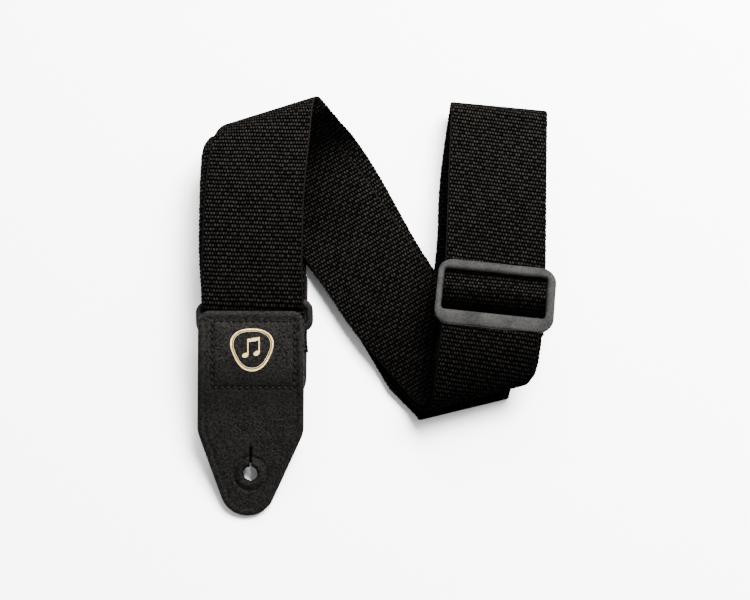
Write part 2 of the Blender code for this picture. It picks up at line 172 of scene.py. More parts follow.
class Value:
    """A socket that can be written into arithmetic; each operation adds a Math node."""

    def __init__(self, tree, socket):
        self.tree = tree
        self.socket = socket

    def op(self, kind, *others):
        node = self.tree.nodes.new("ShaderNodeMath")
        node.operation = kind
        for i, item in enumerate((self, *others)):
            if isinstance(item, Value):
                self.tree.links.new(item.socket, node.inputs[i])
            else:
                node.inputs[i].default_value = item
        return Value(self.tree, node.outputs[0])

    def __add__(self, other):
        return self.op("ADD", other)

    def __sub__(self, other):
        return self.op("SUBTRACT", other)

    def __mul__(self, other):
        return self.op("MULTIPLY", other)

    def __truediv__(self, other):
        return self.op("DIVIDE", other)

    def floor(self):
        return self.op("FLOOR")

    def fract(self):
        return self.op("FRACT")

    def abs(self):
        return self.op("ABSOLUTE")

    def power(self, exponent):
        return self.op("POWER", exponent)

    def wrap(self, top):
        return self.op("FLOORED_MODULO", top)

    def min(self, other):
        return self.op("MINIMUM", other)

    def max(self, other):
        return self.op("MAXIMUM", other)

    def ramp(self, low, high, to_low=0.0, to_high=1.0):
        node = self.tree.nodes.new("ShaderNodeMapRange")
        node.interpolation_type = "SMOOTHSTEP"
        self.tree.links.new(self.socket, node.inputs["Value"])
        node.inputs["From Min"].default_value = low
        node.inputs["From Max"].default_value = high
        node.inputs["To Min"].default_value = to_low
        node.inputs["To Max"].default_value = to_high
        return Value(self.tree, node.outputs["Result"])

    def hump(self):
        """0 at 0 and 1, and 1 at a half."""
        return self * (self * -1.0 + 1.0) * 4.0


def new_material(name):
    mat = bpy.data.materials.new(name)
    mat.use_nodes = True
    tree = mat.node_tree
    return mat, tree, tree.nodes["Principled BSDF"]


def combine(tree, x, y, z=0.0):
    node = tree.nodes.new("ShaderNodeCombineXYZ")
    for i, item in enumerate((x, y, z)):
        if isinstance(item, Value):
            tree.links.new(item.socket, node.inputs[i])
        else:
            node.inputs[i].default_value = item
    return node.outputs[0]


def noise(tree, vector, scale, detail=2.0, roughness=0.5):
    node = tree.nodes.new("ShaderNodeTexNoise")
    node.inputs["Scale"].default_value = scale
    node.inputs["Detail"].default_value = detail
    node.inputs["Roughness"].default_value = roughness
    tree.links.new(vector, node.inputs["Vector"])
    return Value(tree, node.outputs["Fac"])


def voronoi(tree, vector, scale, feature="F1"):
    node = tree.nodes.new("ShaderNodeTexVoronoi")
    node.feature = feature
    node.inputs["Scale"].default_value = scale
    tree.links.new(vector, node.inputs["Vector"])
    return Value(tree, node.outputs["Distance"])


def mix_colour(tree, factor, low, high):
    node = tree.nodes.new("ShaderNodeMix")
    node.data_type = "RGBA"
    tree.links.new(factor.socket, node.inputs["Factor"])
    for item, socket in ((low, node.inputs[6]), (high, node.inputs[7])):
        if isinstance(item, tuple):
            socket.default_value = (*item, 1.0)
        else:
            tree.links.new(item, socket)
    return node.outputs[2]


def bump(tree, height, distance, strength=1.0):
    node = tree.nodes.new("ShaderNodeBump")
    node.inputs["Strength"].default_value = strength
    node.inputs["Distance"].default_value = distance
    tree.links.new(height.socket, node.inputs["Height"])
    return node.outputs["Normal"]


def coordinates(tree, name="weave"):
    """The two millimetre coordinates kept in a UV map: along the strap and across it."""
    uv = tree.nodes.new("ShaderNodeUVMap")
    uv.uv_map = name
    split = tree.nodes.new("ShaderNodeSeparateXYZ")
    tree.links.new(uv.outputs["UV"], split.inputs[0])
    return Value(tree, split.outputs[0]), Value(tree, split.outputs[1])


def object_point(tree):
    return tree.nodes.new("ShaderNodeTexCoord").outputs["Object"]


# ---------------------------------------------------------------- materials

def webbing_material():
    """Ribbed webbing: rows of short floats, every second row shifted by half a repeat.

    The shade attribute holds painted shade and scales the colour.
    """
    mat, tree, shader = new_material("black_webbing")
    s, t = coordinates(tree)
    wander = noise(tree, combine(tree, s * 0.10, t * 0.10), 1.0, 2.0) - 0.5
    rows = s / ROW + wander * 0.5
    row = rows.floor()
    along = rows.fract()
    sideways = noise(tree, combine(tree, s * 0.35, t * 0.35, 4.0), 1.0, 1.0) - 0.5
    columns = t / COLUMN + row.wrap(2.0) * 1.5 + sideways * 0.35 + 60.0
    column = columns.floor()
    across = columns.fract()
    third = columns.wrap(3.0)

    cell = tree.nodes.new("ShaderNodeTexWhiteNoise")
    cell.noise_dimensions = "2D"
    tree.links.new(combine(tree, column, row), cell.inputs["Vector"])
    chance = Value(tree, cell.outputs["Value"])

    bar = across.hump().power(1.3) * along.hump().power(1.5)
    small = (third - 2.5).abs().ramp(0.3, 0.6, 0.7, 1.0)
    bridge = (third - 1.0).abs().ramp(0.75, 0.25) * (along * 2.2).min(1.0).hump().power(0.8)
    weave = (bar * small).max(bridge * 0.42)
    weave = weave * (chance * 0.5 + 0.65)

    edge = t.abs().ramp(SELVAGE, SELVAGE + 0.6)
    fine_rows = (s / (ROW / 2)).fract().hump()
    fine_columns = (t / 0.95).fract().hump()
    selvage = (fine_rows * 0.4 + 0.2) * fine_columns.power(0.6)
    height = weave * (edge * -1.0 + 1.0) + selvage * edge

    strands = noise(tree, combine(tree, s * 1.2, t * 9.0), 1.0, 2.0, 0.6)
    height = height + (strands - 0.5) * 0.18

    # The colour follows the weave's height, as painted shade in the gaps between floats; the
    # strands give the yarn's own tone.
    shade = tree.nodes.new("ShaderNodeAttribute")
    shade.attribute_name = "shade"
    tint = height.ramp(0.12, 1.0) * (strands * 0.7 + 0.65) * Value(tree, shade.outputs["Fac"])
    colour = mix_colour(tree, tint, (0.0001, 0.0001, 0.0001), (0.0093, 0.0084, 0.0074))
    tree.links.new(colour, shader.inputs["Base Color"])
    tree.links.new(bump(tree, height, 0.00045), shader.inputs["Normal"])
    rough = strands.ramp(0.2, 0.8, 0.5, 0.66)
    tree.links.new(rough.socket, shader.inputs["Roughness"])
    shader.inputs["Specular IOR Level"].default_value = 0.0
    return mat


def leather_material(name, light, dark, rough_low, rough_high, grain):
    mat, tree, shader = new_material(name)
    point = object_point(tree)
    cells = voronoi(tree, point, 1700.0)
    creases = noise(tree, point, 1000.0, 3.0, 0.75)
    broad = noise(tree, point, 60.0, 3.0, 0.55)
    height = cells * 0.5 + creases * 0.7 + broad * 0.5
    split = tree.nodes.new("ShaderNodeSeparateXYZ")
    tree.links.new(point, split.inputs[0])
    # Painted shade: darkest at one y, lighter above it and a little lighter below.
    darkest, above, below = -0.052, -0.014, -0.062
    upper = Value(tree, split.outputs[1]).ramp(darkest, above)
    lower = Value(tree, split.outputs[1]).ramp(darkest, below)
    grain_tint = (creases * 0.9 + broad * 0.1).ramp(0.39, 0.65)
    # The colour is the grain's own tone times the painted shade.
    tint = grain_tint * (upper * 1.25 + lower * 0.25 + 0.45)
    tree.links.new(mix_colour(tree, tint, dark, light), shader.inputs["Base Color"])
    tree.links.new(bump(tree, height, grain), shader.inputs["Normal"])
    rough = broad.ramp(0.3, 0.7, rough_low, rough_high)
    tree.links.new(rough.socket, shader.inputs["Roughness"])
    shader.inputs["Specular IOR Level"].default_value = 0.016
    return mat


def plastic_material(name, dark, light):
    mat, tree, shader = new_material(name)
    point = object_point(tree)
    pits = noise(tree, point, 1300.0, 3.0, 0.7)
    broad = noise(tree, point, 90.0, 2.0, 0.5)
    speckle = (pits * 0.8 + broad * 0.4).ramp(0.4, 0.8)
    colour = mix_colour(tree, speckle, dark, light)
    tree.links.new(colour, shader.inputs["Base Color"])
    tree.links.new(bump(tree, pits + broad * 0.3, 0.00012, 0.6), shader.inputs["Normal"])
    rough = pits.ramp(0.3, 0.7, 0.52, 0.66)
    tree.links.new(rough.socket, shader.inputs["Roughness"])
    shader.inputs["Specular IOR Level"].default_value = 0.018
    return mat


def thread_material():
    mat, tree, shader = new_material("black_thread")
    point = object_point(tree)
    ply = noise(tree, point, 1800.0, 2.0, 0.6)
    colour = mix_colour(tree, ply, (0.0002, 0.0002, 0.0002), (0.0030, 0.0029, 0.0027))
    tree.links.new(colour, shader.inputs["Base Color"])
    tree.links.new(bump(tree, ply, 0.0001), shader.inputs["Normal"])
    rough = ply.ramp(0.3, 0.7, 0.45, 0.6)
    tree.links.new(rough.socket, shader.inputs["Roughness"])
    shader.inputs["Specular IOR Level"].default_value = 0.04
    return mat


def foil_material():
    mat, tree, shader = new_material("gold_foil")
    point = object_point(tree)
    wear = noise(tree, point, 700.0, 3.0, 0.6)
    broad = noise(tree, point, 120.0, 2.0, 0.5)
    colour = mix_colour(tree, broad, (0.88, 0.58, 0.20), (1.0, 0.82, 0.46))
    tree.links.new(colour, shader.inputs["Base Color"])
    tree.links.new(bump(tree, wear, 0.00008), shader.inputs["Normal"])
    rough = wear.ramp(0.3, 0.7, 0.25, 0.45)
    tree.links.new(rough.socket, shader.inputs["Roughness"])
    shader.inputs["Metallic"].default_value = 0.85
    return mat


# ---------------------------------------------------------------- mesh helpers

def place(points):
    return (np.asarray(points, float) + CENTRING) * MM


def make_mesh(name, verts, faces, mat, uvs=None, smooth=True, shade=None):
    """verts in plan millimetres. uvs and shade, if given, hold one item for each vertex."""
    mesh = bpy.data.meshes.new(name)
    mesh.from_pydata([tuple(v) for v in place(verts)], [],
                     [tuple(int(i) for i in f) for f in faces])
    if uvs is not None:
        layer = mesh.uv_layers.new(name="weave")
        corners = np.zeros(len(mesh.loops), np.int32)
        mesh.loops.foreach_get("vertex_index", corners)
        layer.data.foreach_set("uv", np.asarray(uvs, np.float32)[corners].ravel())
        tone = mesh.attributes.new("shade", "FLOAT", "POINT")
        tone.data.foreach_set("value", np.ones(len(verts)) if shade is None else shade)
    mesh.polygons.foreach_set("use_smooth", [smooth] * len(mesh.polygons))
    mesh.materials.append(mat)
    mesh.update()
    obj = bpy.data.objects.new(name, mesh)
    bpy.context.scene.collection.objects.link(obj)
    return obj


def turned(degrees):
    return np.array((math.cos(math.radians(degrees)), math.sin(math.radians(degrees)), 0.0))


def unit(v):
    return v / np.linalg.norm(v)


def curve_through(values, x):
    """Smooth values at evenly spaced knots, read at x from 0 to 1."""
    values = np.asarray(values, float)
    n = len(values) - 1
    u = np.clip(np.asarray(x) * n, 0, n - 1e-9)
    k = u.astype(int)
    f = u - k
    padded = np.concatenate([[2 * values[0] - values[1]], values, [2 * values[-1] - values[-2]]])
    a, b, c, d = padded[k], padded[k + 1], padded[k + 2], padded[np.minimum(k + 3, n + 2)]
    return b + 0.5 * f * (c - a + f * (2 * a - 5 * b + 4 * c - d + f * (3 * (b - c) + d - a)))


# ---------------------------------------------------------------- the strap's path

class Strip:
    """A strap laid from a start point. It keeps its rungs: left ends, right ends."""

    def __init__(self, start, heading, skew):
        self.at = np.array(start, float)
        self.heading = heading
        self.skew = skew
        self.pitch = 0.0
        self.left = []
        self.right = []

    def add(self, centre, skew, heading):
        half = WIDTH / 2 / abs(math.sin(math.radians(heading - skew)))
        self.left.append(centre - turned(skew) * half)
        self.right.append(centre + turned(skew) * half)

    def run(self, end, heading, skew, heights, step=0.6):
        """A run to a plan point, arriving at a heading; heights are evenly spaced."""
        start = self.at[:2]
        end = np.array(end, float)
        reach = np.linalg.norm(end - start)
        first = turned(self.heading)[:2] * reach
        last = turned(heading)[:2] * reach
        count = max(4, int(reach / step))
        t = np.linspace(0, 1, count + 1)[:, None]
        h1, h2 = 2 * t**3 - 3 * t**2 + 1, t**3 - 2 * t**2 + t
        h3, h4 = -2 * t**3 + 3 * t**2, t**3 - t**2
        plan = start * h1 + first * h2 + end * h3 + last * h4
        z = curve_through(heights, t[:, 0])
        ease = t[:, 0]
        for i in range(1, count + 1):
            slope = plan[i] - plan[i - 1]
            facing = math.degrees(math.atan2(slope[1], slope[0]))
            turn = self.skew + (skew - self.skew) * ease[i]
            self.add(np.array((*plan[i], z[i])), turn, facing)
        flat = np.linalg.norm(plan[-1] - plan[-2])
        self.pitch = math.degrees(math.atan2(z[-1] - z[-2], flat))
        self.at = np.array((*plan[-1], z[-1]))
        self.heading = heading
        self.skew = skew

    def fold(self, z_end, up, stretch=1.0, pinch=0.0, next_pitch=0.0, step=0.45):
        """A fold about the present skew direction. pinch draws in the left end of its crest."""
        along = turned(self.skew)
        ahead = turned(self.heading)
        out = np.array((-along[1], along[0], 0.0))
        if out @ ahead < 0:
            out = -out
        turn = math.radians(self.heading - self.skew)
        creep = math.cos(turn) / abs(math.sin(turn))
        sign = 1.0 if up else -1.0
        first = sign * math.radians(self.pitch)
        last = math.pi + sign * math.radians(next_pitch)
        radius = abs(z_end - self.at[2]) / (math.cos(first) - math.cos(last))
        count = max(6, int(radius * stretch * (last - first) / step))
        start = self.at.copy()
        heading_out = 2 * self.skew - self.heading
        travel = 0.0
        for i in range(1, count + 1):
            angle = first + (last - first) * i / count
            middle = angle - (last - first) / count / 2
            length = math.hypot(stretch * math.cos(middle), math.sin(middle))
            travel += radius * length * (last - first) / count
            centre = start + along * (creep * travel)
            centre = centre + out * (stretch * radius * (math.sin(angle) - math.sin(first)))
            centre[2] = start[2] + sign * radius * (math.cos(first) - math.cos(angle))
            self.add(centre, self.skew, self.heading)
            crest = max(0.0, math.sin(angle)) ** 2.5
            self.left[-1] = self.left[-1] + along * (pinch * crest)
        self.at = centre
        self.heading = heading_out
        self.pitch = next_pitch


def slider_axes():
    level = turned(RIGHT_DIRECTION)
    along = unit(level + np.array((0, 0, RIGHT_RISE * level[1])))
    across = np.array((level[1], -level[0], 0.0))
    return across, along, np.cross(across, along)


def slope_height(point, offset=0.0):
    _, _, normal = slider_axes()
    away = point - SLIDER_MIDDLE
    return SLIDER_MIDDLE[2] + (offset - away[0] * normal[0] - away[1] * normal[1]) / normal[2]


def smooth(w):
    """Eases a share from 0 to 1."""
    return w * w * (3 - 2 * w)


def lay_on_slope(strip, first, ease):
    """Moves the rungs from first on onto the slider's slope, easing in over a y distance."""
    low = (strip.left[first][1] + strip.right[first][1]) / 2
    for i in range(first, len(strip.left)):
        middle = (strip.left[i][1] + strip.right[i][1]) / 2
        w = smooth(min(1.0, (middle - low) / ease))
        for ends in (strip.left, strip.right):
            ends[i][2] += (slope_height(ends[i]) - ends[i][2]) * w


def narrow(ends, others, first, last, depth, ease):
    """Moves rung ends towards the others, easing over a number of rungs before and after."""
    for i in range(first - ease, last + ease):
        share = min(1.0, (i - first + ease) / ease, (last + ease - i) / ease)
        ends[i] = ends[i] + unit(others[i] - ends[i]) * (depth * share)


def draw_in(strip, first, depth):
    """Draws the right edge in towards the fold, from nothing at y 0 to depth low down."""
    for i in range(first, len(strip.right)):
        share = min(1.0, max(0.0, -strip.right[i][1] / 16.0))
        early = min(1.0, (i - first) / 12.0)
        strip.right[i][0] -= depth * early * share * share * (3 - 2 * share)


def ring_loop():
    left, right = [], []
    across = turned(RING_TURN)
    back = np.array((-across[1], across[0], 0.0))
    for i in range(1, 24):
        angle = math.pi * i / 24
        away = np.array((0, 0, -math.cos(angle))) - back * math.sin(angle)
        centre = RING_MIDDLE + away * LOOP_RADIUS
        centre[0] += STRAP_AT_RING - RING_MIDDLE[0]
        left.append(centre - across * WIDTH / 2)
        right.append(centre + across * WIDTH / 2)
    return left, right


def outer_path():
    """From the top of the ring's bar to the rear leather end."""
    start = np.array((STRAP_AT_RING, RING_MIDDLE[1], RING_MIDDLE[2] + LOOP_RADIUS))
    strip = Strip(start, 93.0, RING_TURN)
    strip.add(strip.at, RING_TURN, 90.0)
    strip.run((-61.9, 40.0), 89.0, 8.0, [start[2], 32.4, 33.0, 33.2])
    strip.run((-59.3, 82.9), 86.0, 19.0, [33.2, 33.1, 32.6, 31.4])
    strip.fold(DIAGONAL_Z, False, 1.45, 4.5)
    pocket = len(strip.left)
    strip.run((1.6, 17.4), -60.0, 16.9, [DIAGONAL_Z] * 4)
    strip.run((36.9, -36.8), -53.5, 14.6, [DIAGONAL_Z] * 4)
    lower = len(strip.left)
    strip.fold(RIGHT_LOW_Z, True, 1.45)
    marks = {"pocket": pocket, "right": len(strip.left)}
    strip.run((60.7, 10.0), RIGHT_DIRECTION, -4.0, [RIGHT_LOW_Z, RIGHT_LOW_Z])
    draw_in(strip, lower, 2.2)
    strip.run((65.5, 99.0), 86.5, -6.0, [RIGHT_LOW_Z, RIGHT_TOP_Z])
    lay_on_slope(strip, marks["right"], 14.0)
    strip.pitch = -5.5
    strip.fold(FLOOR_Z, False)
    strip.run((59.0, 50.0), -91.5, 4.0, [FLOOR_Z] * 3, 1.2)
    strip.run((45.2, -53.0), -98.0, 13.9, [FLOOR_Z] * 3, 1.2)
    crease = len(strip.left)
    strip.fold(HIDDEN_Z, True)
    past = len(strip.left)
    strip.run((6.6, 6.4), 123.5, 16.0, [HIDDEN_Z] * 3, 1.2)
    narrow(strip.left, strip.right, crease, past, 4.2, 14)
    narrow(strip.right, strip.left, crease, past, 3.6, 24)
    strip.run((-52.5, 88.0), 125.0, 17.5, [HIDDEN_Z] * 3, 1.2)
    strip.fold(FLOOR_Z, False)
    strip.run((REAR_TOP[0], 25.5), -90.0, 0.0, [FLOOR_Z] * 3, 1.2)
    top = REAR_TOP[2] + LEATHER_THICK / 2 + 0.1 + THICK / 2
    strip.run(REAR_TOP[:2], -90.0, 0.0, [FLOOR_Z, FLOOR_Z + 0.6, top - 0.6, top])
    strip.run((REAR_TOP[0], -21.0), -90.0, 0.0, [top] * 3, 1.2)
    return strip, marks


def inner_path():
    """From the bottom of the ring's bar to the end of the lower fold, and on to the slider."""
    start = np.array((STRAP_AT_RING, RING_MIDDLE[1], RING_MIDDLE[2] - LOOP_RADIUS))
    strip = Strip(start, 95.0, RING_TURN)
    strip.add(strip.at, RING_TURN, 90.0)
    upper = LEFT_Z - LAYER
    strip.run((-64.0, 30.0), 91.0, 7.0, [start[2], 28.4, 30.4, upper])
    strip.run((-63.9, 80.2), 87.0, 19.0, [upper, 30.8, 30.5, 29.3])
    strip.fold(DIAGONAL_Z + LAYER, False, 1.4, 3.0)
    pocket = len(strip.left)
    strip.run((6.0, 4.9), -56.5, 16.9, [DIAGONAL_Z + LAYER] * 4)
    strip.run((39.2, -37.5), -53.0, 14.6, [DIAGONAL_Z + LAYER] * 4)
    strip.fold(RIGHT_LOW_Z - LAYER, True, 1.4)
    mark = len(strip.left)
    across, along, normal = slider_axes()
    end = SLIDER_MIDDLE - along * 4.0 - normal * 6.3
    strip.run(end[:2], RIGHT_DIRECTION, SLIDER_TURN, [RIGHT_LOW_Z - LAYER, 30.0, end[2]])
    for i in range(mark, len(strip.left)):
        w = (i + 1 - mark) / (len(strip.left) - mark)
        offset = -LAYER - 4.1 * smooth(w)
        blend = min(1.0, w / 0.25)
        for ends in (strip.left, strip.right):
            ends[i][2] += (slope_height(ends[i], offset) - ends[i][2]) * blend
    return strip, mark, pocket


# ---------------------------------------------------------------- webbing meshes

# The cross-section from edge to edge: place across the strap out of 25 to each side, and
# height as a share of half the thickness.
SECTION = [(-25.0, 0.0), (-24.9, 0.55), (-24.5, 0.9), (-23.6, 1.0), (-21.0, 1.0), (-17.0, 1.0),
           (-12.0, 1.0), (-6.0, 1.0), (0.0, 1.0), (6.0, 1.0), (12.0, 1.0), (17.0, 1.0),
           (21.0, 1.0), (23.6, 1.0), (24.5, 0.9), (24.9, 0.55), (25.0, 0.0)]


def strip_mesh(name, left, right, mat, along=None, caps=(True, True), thick=THICK, shade=None):
    """A closed strap through rungs. along is the distance at each rung's left and right end."""
    left = np.array(left)
    right = np.array(right)
    if along is None:
        along = arc_lengths(left, right)
    loop = SECTION + [(t, -h) for t, h in SECTION[-2:0:-1]]
    share = np.array([(t + 25.0) / 50.0 for t, _ in loop])
    lift = np.array([h for _, h in loop]) * thick / 2
    grid = left[:, None] * (1 - share)[None, :, None] + right[:, None] * share[None, :, None]
    tangent = np.gradient(grid, axis=0)
    chord = (right - left)[:, None]
    normal = np.cross(chord, tangent)
    normal /= np.maximum(np.linalg.norm(normal, axis=2, keepdims=True), 1e-9)
    s = along[0][:, None] * (1 - share)[None] + along[1][:, None] * share[None]
    side = chord / np.linalg.norm(chord, axis=2, keepdims=True)
    ripple = 0.16 * np.cos(2 * math.pi * s / ROW) + 0.07 * np.cos(2 * math.pi * s / 7.3)
    rim = np.clip((np.abs(share - 0.5) * 50 - 24.0), 0, 1) * np.sign(share - 0.5)
    verts = grid + normal * lift[None, :, None] + side * (ripple * rim[None])[..., None]
    rows, cols = verts.shape[:2]
    index = np.arange(rows * cols).reshape(rows, cols)
    nxt = np.roll(index, -1, axis=1)
    faces = np.stack([index[:-1], nxt[:-1], nxt[1:], index[1:]], axis=-1).reshape(-1, 4).tolist()
    if caps[0]:
        faces.append(index[0].tolist()[::-1])
    if caps[1]:
        faces.append(index[-1].tolist())
    t = share * WIDTH - WIDTH / 2
    uvs = np.stack([s, np.broadcast_to(t[None], s.shape)], axis=-1).reshape(-1, 2)
    if shade is not None:
        shade = np.asarray(shade, float).reshape(rows, -1)
        shade = (shade[:, :1] * (1 - share) + shade[:, -1:] * share).ravel()
    return make_mesh(name, verts.reshape(-1, 3), faces, mat, uvs, True, shade)


def arc_lengths(left, right):
    """Distance along the strap at both edges, equal on a straight strap's square-cut rungs."""
    result = []
    for edge in (np.array(left), np.array(right)):
        step = np.linalg.norm(np.diff(edge, axis=0), axis=1)
        result.append(np.concatenate([[0.0], np.cumsum(step)]))
    chord = np.array(right)[0] - np.array(left)[0]
    ahead = unit((np.array(left)[1] + right[1] - left[0] - right[0])[:3])
    result[1] = result[1] + chord @ ahead
    return result


def fall_off(left, right):
    """Painted shade for each rung's two ends, by y alone: darker towards the lower folds."""
    ends = [np.interp(np.array(edge)[:, 1], (-48, -28, 0, 30, 100), (0.4, 0.52, 0.82, 0.95, 1.35))
            for edge in (left, right)]
    return np.stack(ends, axis=1)


def paint_fold_shade(shade, left, pocket):
    """Paints shade into a fold's inward half and the start of the run after it. Changes shade in
    place.
    """
    away = np.linalg.norm(np.array(left) - left[pocket], axis=1)
    after = np.arange(len(left)) >= pocket
    fade = np.clip((pocket - np.arange(len(left)) - 34) / 12.0, 0, 1)
    near = np.interp(away, (0, 32, 62), (0.0, 0.12, 1.0))
    far = np.interp(away, (0, 6, 26), (0.1, 0.25, 1.0))
    shade[:, 0] *= np.where(after, near, fade)
    shade[:, 1] *= np.where(after, far, 0.1 + 0.9 * fade)


def webbing(mat):
    outer, marks = outer_path()
    inner, mark, pocket = inner_path()
    loop_left, loop_right = ring_loop()
    # One strap: back along the inner layer to the ring, round the bar, and out again.
    left = inner.left[::-1] + loop_left + outer.left
    right = inner.right[::-1] + loop_right + outer.right
    along = arc_lengths(left, right)
    split = len(inner.left) - mark

    # Painted shade, darker towards the lower folds.
    shade = fall_off(left, right)
    # Painted shade in the pocket after the first fold, on both layers.
    top_layer = shade[:len(inner.left)][::-1]
    paint_fold_shade(top_layer, inner.left, pocket)
    paint_fold_shade(shade[len(inner.left) + len(loop_left):], outer.left, marks["pocket"])

    def part(name, first, last, caps):
        piece = (along[0][first:last], along[1][first:last])
        ends = shade[first:last]
        return strip_mesh(name, left[first:last], right[first:last], mat, piece, caps, THICK, ends)

    end_piece = part("main_webbing_end", 0, split + 1, (True, True))
    main = part("main_webbing", split, len(left), (True, True))
    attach(main, "strap")
    _, direction, _ = slider_axes()
    low = place(SLIDER_MIDDLE - direction * 32.0)
    high = place(SLIDER_MIDDLE - direction * 5.0)
    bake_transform(end_piece)
    return main, end_piece


def slider_loop(mat):
    """The sewn end round the centre bar, and a thin skin in the slider's window.

    The skin stands in for the webbing where it rises over the centre bar, and carries painted
    shade.
    """
    to = slider_matrix()
    middle, radius = -4.1, 2.2
    line = [(-5.6, middle - radius)]
    for i in range(25):
        angle = math.pi * (-0.5 + i / 24)
        line.append((1.95 + radius * math.cos(angle), middle + radius * math.sin(angle)))
    line += [(y, middle + radius) for y in np.linspace(1.0, -18.0, 30)]
    left = [to(-WIDTH / 2, y, z) for y, z in line]
    right = [to(WIDTH / 2, y, z) for y, z in line]
    end = strip_mesh("slider_end_webbing", left, right, mat, None, (True, True))
    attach(end, "slider")

    left, right, shade = [], [], []
    for y in np.linspace(-12.8, 12.8, 100):
        rise = math.exp(-(abs(y - 0.6) / (6.2 if y > 0.6 else 3.2)) ** 1.7)
        z = 0.86 + 2.5 * rise - 0.5 * math.exp(-((y - 0.2) / 0.4) ** 2)
        half = WINDOW / 2 + 0.4
        left.append(to(WINDOW_X - half, y, z))
        right.append(to(WINDOW_X + half, y, z))
        # Painted shade on the skin: black at its lower end, lightest from the crest to 7 mm above
        # it, dark again at its top end.
        tone = np.interp(y, (-9.0, -5.0, -0.3, 0.0, 7.0, 11.0), (0.0, 0.12, 0.7, 0.9, 0.9, 0.1))
        shade.append(float(tone))
    crest = strip_mesh("webbing_over_bar", left, right, mat, None, (True, True), 0.3, shade)
    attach(crest, "slider")
    return end, crest


def keeper(mat):
    bar, across, down, normal = ring_bar()
    line = [(y, LOOP_RADIUS) for y in np.linspace(33.0, 0.5, 40)]
    for i in range(25):
        angle = math.radians(90 + 210 * i / 24)
        line.append((LOOP_RADIUS * math.cos(angle), LOOP_RADIUS * math.sin(angle)))
    line += [(y, LOOP_RADIUS - 1.75) for y in np.linspace(8.4, 12.7, 7)]
    left, right = [], []
    for i, (y, z) in enumerate(line):
        shift = float(np.interp(i, (0, 36, 48, 70), (-2.1, -1.6, 0.0, 1.0)))
        centre = bar + down * y + normal * z + across * shift
        left.append(centre - across * WIDTH / 2)
        right.append(centre + across * WIDTH / 2)
    piece = strip_mesh("keeper_webbing", left, right, mat)
    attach(piece, "front_end")
    return piece


# ---------------------------------------------------------------- frames of the hardware

def ring_bar():
    """The middle of the ring's lower bar, and the ring's axes."""
    across = turned(RING_TURN)
    level = np.array((across[1], -across[0], 0.0))
    slope = math.radians(END_SLOPE)
    down = level * math.cos(slope) - np.array((0, 0, math.sin(slope)))
    normal = unit(np.cross(across, -down))
    return RING_MIDDLE + down * RING_PITCH, across, down, normal


def front_frame():
    bar, across, down, normal = ring_bar()
    top = bar - down * LEATHER_TOP + normal * LEATHER_OFFSET - across * 1.15
    c, s = math.cos(math.radians(FRONT_TURN)), math.sin(math.radians(FRONT_TURN))
    x = across * c - down * s
    y = -across * s - down * c
    return top, x, y, normal


def slider_matrix():
    across, along, normal = slider_axes()
    c, s = math.cos(math.radians(SLIDER_TURN)), math.sin(math.radians(SLIDER_TURN))
    x = across * c + along * s
    y = -across * s + along * c
    return lambda a, b, h: SLIDER_MIDDLE + x * a + y * b + normal * h


def rounded_outline(width, height, radius, steps):
    """Anticlockwise points of a rounded rectangle, steps to a corner."""
    points = []
    for k, (sx, sy) in enumerate(((1, 1), (-1, 1), (-1, -1), (1, -1))):
        for i in range(steps + 1):
            a = math.radians(90 * k + 90 * i / steps)
            points.append((sx * (width / 2 - radius) + radius * math.cos(a),
                           sy * (height / 2 - radius) + radius * math.sin(a)))
    return np.array(points)


